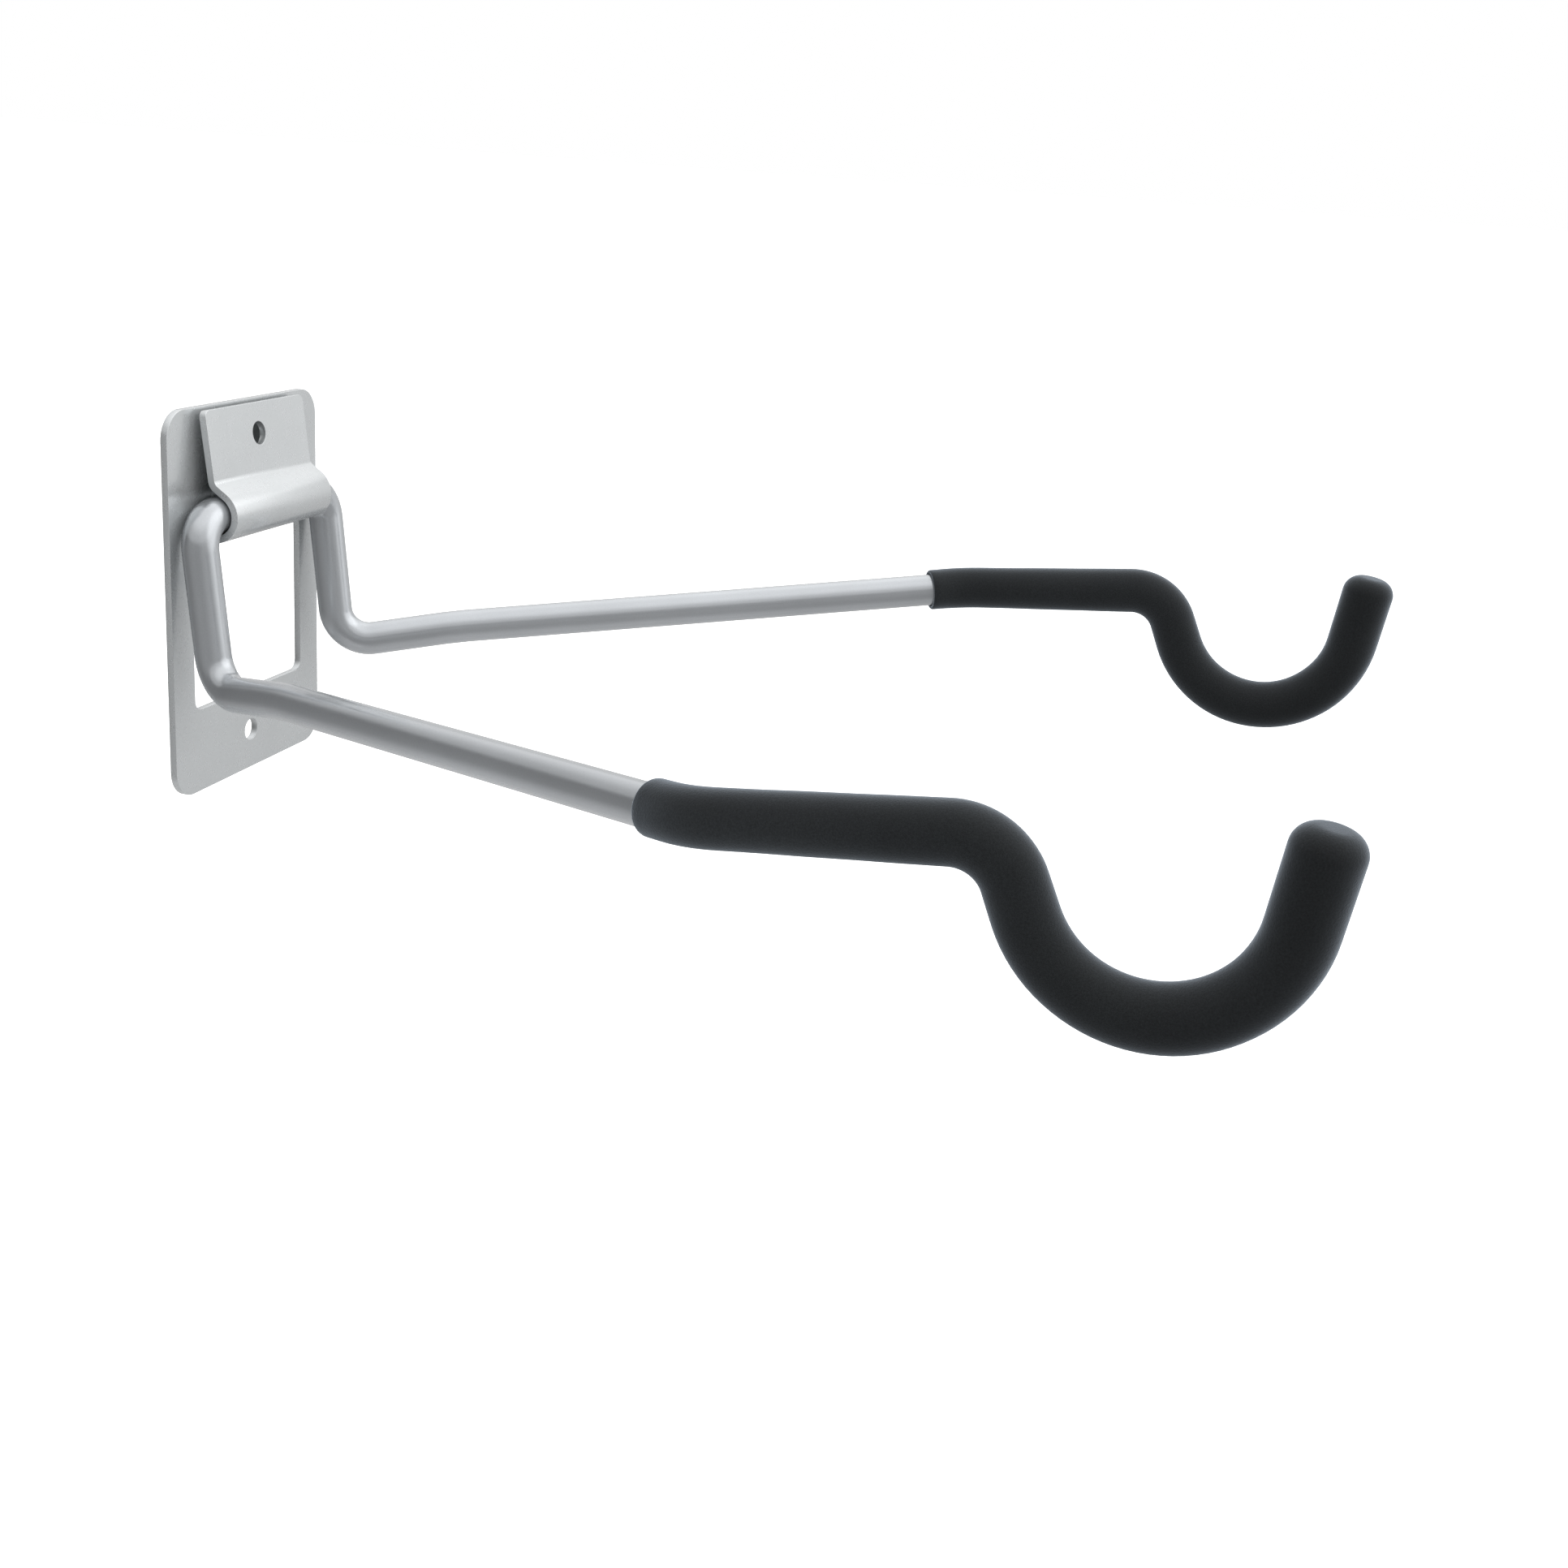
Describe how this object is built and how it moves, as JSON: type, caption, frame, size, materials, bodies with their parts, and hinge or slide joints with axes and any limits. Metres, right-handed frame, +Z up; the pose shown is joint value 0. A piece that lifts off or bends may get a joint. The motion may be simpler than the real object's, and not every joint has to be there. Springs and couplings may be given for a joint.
{
  "type": "bicycle wall rack",
  "caption": "Folding bicycle wall rack: a stamped steel plate whose rolled tongue hinges a bent steel rod with foam-sleeved hooks.",
  "frame": {"origin": "on the wall plate's back face, halfway across it, at the height of the hinge bar's axis", "axes": "+Z up, +Y into the wall, +X across the rack; the arms reach towards -Y"},
  "size_m": [0.2736, 0.32, 0.109],
  "materials": {
    "plate_coat": "semi-gloss light grey powder coat with a fine grain",
    "rod_coat": "semi-gloss silver-grey powder coat",
    "sleeve_foam": "matt charcoal closed-cell foam"
  },
  "bodies": {
    "plate": {"wall_plate": "plate_coat"},
    "arms": {"arm_rod": "rod_coat", "foam_sleeve_left": "sleeve_foam", "foam_sleeve_right": "sleeve_foam"}
  },
  "joints": [
    {"name": "arm_fold", "type": "hinge", "parent": "plate", "child": "arms", "pos_m": [0, -0.0073, 0], "axis": [-1, 0, 0], "range_deg": [-6.3, 92]}
  ]
}
